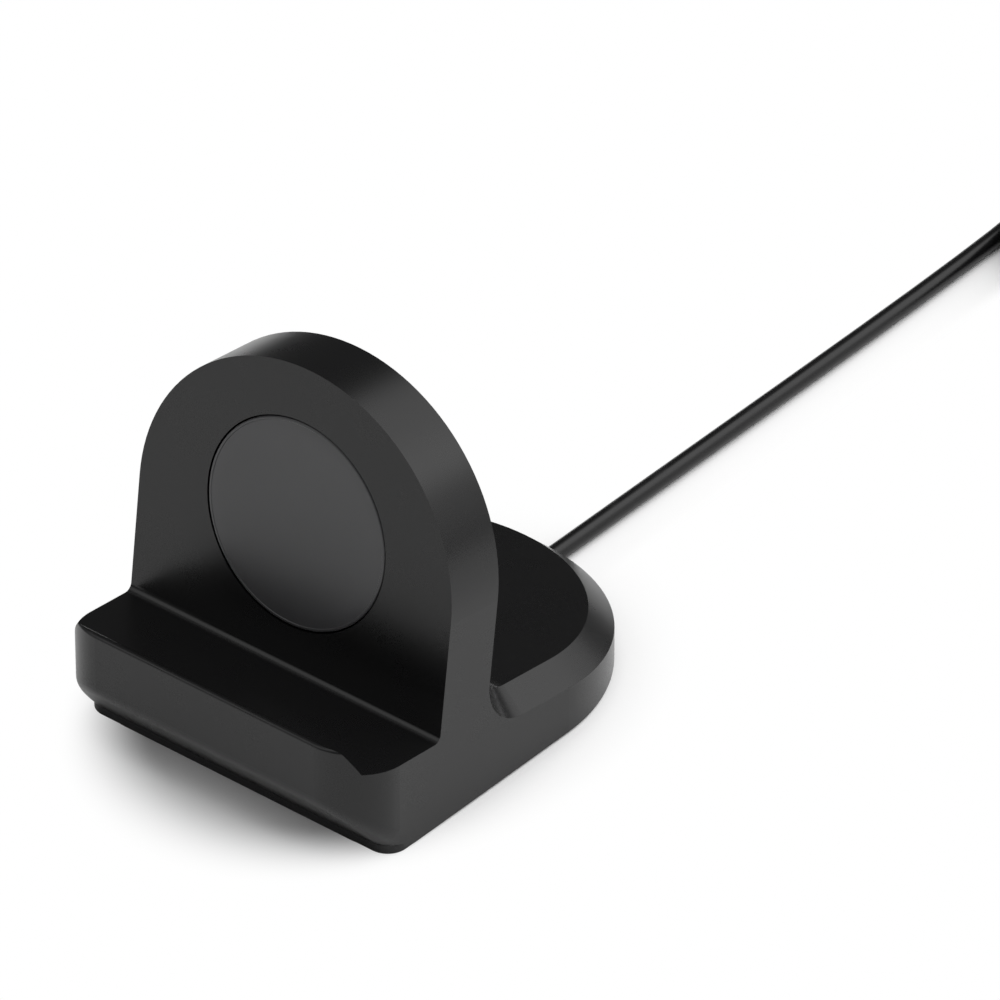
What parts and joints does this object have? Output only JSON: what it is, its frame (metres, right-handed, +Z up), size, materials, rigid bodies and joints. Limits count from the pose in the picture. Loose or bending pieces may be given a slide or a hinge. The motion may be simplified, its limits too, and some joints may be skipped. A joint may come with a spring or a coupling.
{
  "type": "smartwatch charging dock",
  "caption": "Desktop stand that holds a watch upright on a magnetic charging disc, with a sloping ledge, a heavy bevelled foot and a thin power cable to a plug.",
  "frame": {"origin": "on the table under the middle of the dock, cable and plug left out", "axes": "+Z up, +Y to the rear where the cable leaves, the watch faces -Y, +X to the right as seen from the front"},
  "size_m": [0.0591, 0.251, 0.0571],
  "materials": {
    "housing_plastic": "satin",
    "cover_plastic": "matte",
    "pad_rubber": "matte",
    "disc_plastic": "satin",
    "cable_sheath": "satin",
    "plug_plastic": "satin",
    "plug_metal": "satin",
    "tongue_plastic": "matte",
    "contact_gold": "polished",
    "steel": "satin",
    "plated_magnet": "polished",
    "copper": "satin",
    "ferrite": "matte",
    "circuit_board": "satin",
    "chip_plastic": "matte"
  },
  "bodies": {
    "root": {"dock_housing": "housing_plastic", "base_cover": "cover_plastic", "anti_slip_pad": "pad_rubber", "ballast_plate": "steel", "charging_disc": "disc_plastic", "puck_cup": "cover_plastic", "charging_coil": "copper", "ferrite_disc": "ferrite", "alignment_magnet": "plated_magnet", "puck_board": "circuit_board", "puck_leads": "cable_sheath", "control_board": "circuit_board", "controller_chip": "chip_plastic", "inductor": "ferrite", "capacitors": "ferrite", "base_screws": "steel", "board_screws": "steel", "clamp_screws": "steel", "cable_clamp": "cover_plastic", "power_leads": "cable_sheath", "power_cable": "cable_sheath", "cable_coil": "cable_sheath", "cable_tail": "cable_sheath", "plug_overmould": "plug_plastic", "plug_shell": "plug_metal", "plug_tongue": "tongue_plastic", "plug_contacts": "contact_gold"}
  },
  "joints": []
}
